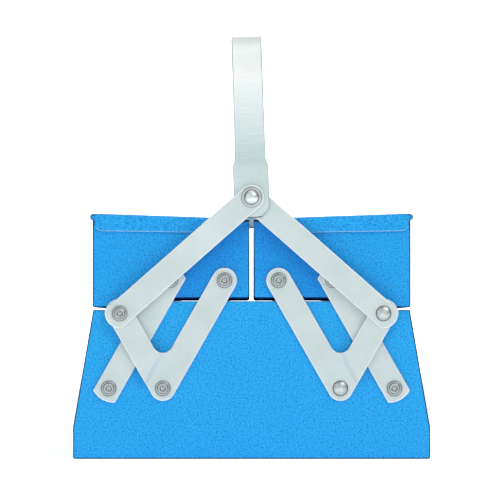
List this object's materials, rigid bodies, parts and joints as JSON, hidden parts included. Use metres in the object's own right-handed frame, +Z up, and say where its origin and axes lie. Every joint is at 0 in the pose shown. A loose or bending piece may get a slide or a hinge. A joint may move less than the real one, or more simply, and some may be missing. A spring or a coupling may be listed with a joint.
{
  "type": "cantilever box with two trays",
  "caption": "Sheet-steel cantilever box: a base, two lidded trays that swing out on riveted steel links at both ends, and a strap handle over the top.",
  "frame": {"origin": "middle of the underside of the base, at the centre of the box's outline on the surface it stands on", "axes": "+X to the right seen from the front end, +Y along the box towards the rear end, +Z up"},
  "size_m": [0.225, 0.4548, 0.2664],
  "materials": {
    "base_paint": "fine hammered blue enamel",
    "tray_paint": "fine hammered blue enamel",
    "lid_paint": "fine hammered blue enamel",
    "strap_steel": "satin silver-grey coating",
    "handle_steel": "satin silver-grey coating",
    "rivet_steel": "bright plated",
    "pin_steel": "drawn wire"
  },
  "bodies": {
    "base": {"base_pan": "base_paint", "base_end_front": "base_paint", "base_end_rear": "base_paint", "rivet_base_crank_right_front": "rivet_steel", "rivet_base_link_right_front": "rivet_steel", "rivet_base_crank_right_rear": "rivet_steel", "rivet_base_link_right_rear": "rivet_steel", "rivet_base_crank_left_front": "rivet_steel", "rivet_base_link_left_front": "rivet_steel", "rivet_base_crank_left_rear": "rivet_steel", "rivet_base_link_left_rear": "rivet_steel"},
    "cranks_right": {"crank_right_front": "strap_steel", "rivet_crank_arm_right_front": "rivet_steel", "crank_right_rear": "strap_steel", "rivet_crank_arm_right_rear": "rivet_steel"},
    "links_right": {"link_right_front": "strap_steel", "link_right_rear": "strap_steel"},
    "tray_right": {"tray_right_pan": "tray_paint", "tray_right_end_front": "tray_paint", "tray_right_end_rear": "tray_paint", "tray_right_divider_front": "tray_paint", "tray_right_divider_rear": "tray_paint", "rivet_tray_crank_right_front": "rivet_steel", "rivet_tray_link_right_front": "rivet_steel", "rivet_tray_crank_right_rear": "rivet_steel", "rivet_tray_link_right_rear": "rivet_steel", "hinge_pin_right": "pin_steel"},
    "lid_right": {"lid_right": "lid_paint"},
    "arms_right": {"arm_right_front": "strap_steel", "arm_right_rear": "strap_steel"},
    "cranks_left": {"crank_left_front": "strap_steel", "rivet_crank_arm_left_front": "rivet_steel", "crank_left_rear": "strap_steel", "rivet_crank_arm_left_rear": "rivet_steel"},
    "links_left": {"link_left_front": "strap_steel", "link_left_rear": "strap_steel"},
    "tray_left": {"tray_left_pan": "tray_paint", "tray_left_end_front": "tray_paint", "tray_left_end_rear": "tray_paint", "tray_left_divider_front": "tray_paint", "tray_left_divider_rear": "tray_paint", "rivet_tray_crank_left_front": "rivet_steel", "rivet_tray_link_left_front": "rivet_steel", "rivet_tray_crank_left_rear": "rivet_steel", "rivet_tray_link_left_rear": "rivet_steel", "hinge_pin_left": "pin_steel"},
    "lid_left": {"lid_left": "lid_paint"},
    "arms_left": {"arm_left_front": "strap_steel", "arm_left_rear": "strap_steel"},
    "handle_pivot": {"rivet_handle_front": "rivet_steel", "washer_handle_front": "rivet_steel", "rivet_handle_rear": "rivet_steel", "washer_handle_rear": "rivet_steel"},
    "handle": {"handle": "handle_steel"}
  },
  "joints": [
    {"name": "crank_right_swing", "type": "hinge", "parent": "base", "child": "cranks_right", "pos_m": [0.0559, 0, 0.0444], "axis": [0, 1, 0], "range_deg": [0, 59.4]},
    {"name": "link_right_swing", "type": "hinge", "parent": "base", "child": "links_right", "pos_m": [0.09, 0, 0.0444], "axis": [0, 1, 0], "range_deg": [0, 59.5]},
    {"name": "tray_right_level", "type": "hinge", "parent": "cranks_right", "child": "tray_right", "pos_m": [0.01706, 0, 0.1125], "axis": [0, -1, 0], "range_deg": [0, 59.5]},
    {"name": "arm_right_fold", "type": "hinge", "parent": "cranks_right", "child": "arms_right", "pos_m": [0.08293, 0, 0.09161], "axis": [0, -1, 0], "range_deg": [0, 99.2]},
    {"name": "lid_right_open", "type": "hinge", "parent": "tray_right", "child": "lid_right", "pos_m": [0.0997, 0, 0.1524], "axis": [0, 1, 0], "range_deg": [0, 105]},
    {"name": "crank_left_swing", "type": "hinge", "parent": "base", "child": "cranks_left", "pos_m": [-0.0559, 0, 0.0444], "axis": [0, -1, 0], "range_deg": [0, 59.5]},
    {"name": "link_left_swing", "type": "hinge", "parent": "base", "child": "links_left", "pos_m": [-0.09, 0, 0.0444], "axis": [0, -1, 0], "range_deg": [0, 59.5]},
    {"name": "tray_left_level", "type": "hinge", "parent": "cranks_left", "child": "tray_left", "pos_m": [-0.01706, 0, 0.1125], "axis": [0, 1, 0], "range_deg": [0, 59.5]},
    {"name": "arm_left_fold", "type": "hinge", "parent": "cranks_left", "child": "arms_left", "pos_m": [-0.08293, 0, 0.09161], "axis": [0, 1, 0], "range_deg": [0, 99.2]},
    {"name": "lid_left_open", "type": "hinge", "parent": "tray_left", "child": "lid_left", "pos_m": [-0.0997, 0, 0.1524], "axis": [0, -1, 0], "range_deg": [0, 105]},
    {"name": "handle_pivot_upright", "type": "hinge", "parent": "arms_left", "child": "handle_pivot", "pos_m": [0, 0, 0.16455], "axis": [0, -1, 0], "range_deg": [0, 39.7]},
    {"name": "handle_swing", "type": "hinge", "parent": "handle_pivot", "child": "handle", "pos_m": [0, 0, 0.16455], "axis": [0, 1, 0], "range_deg": [-28, 32]}
  ],
  "couplings": [
    {"joint": "link_right_swing", "follows": "crank_right_swing", "ratio": 1},
    {"joint": "tray_right_level", "follows": "crank_right_swing", "ratio": 1},
    {"joint": "arm_right_fold", "follows": "crank_right_swing", "ratio": 1.6667},
    {"joint": "crank_left_swing", "follows": "crank_right_swing", "ratio": 1},
    {"joint": "link_left_swing", "follows": "crank_right_swing", "ratio": 1},
    {"joint": "tray_left_level", "follows": "crank_right_swing", "ratio": 1},
    {"joint": "arm_left_fold", "follows": "crank_right_swing", "ratio": 1.6667},
    {"joint": "handle_pivot_upright", "follows": "crank_right_swing", "ratio": 0.66667}
  ]
}
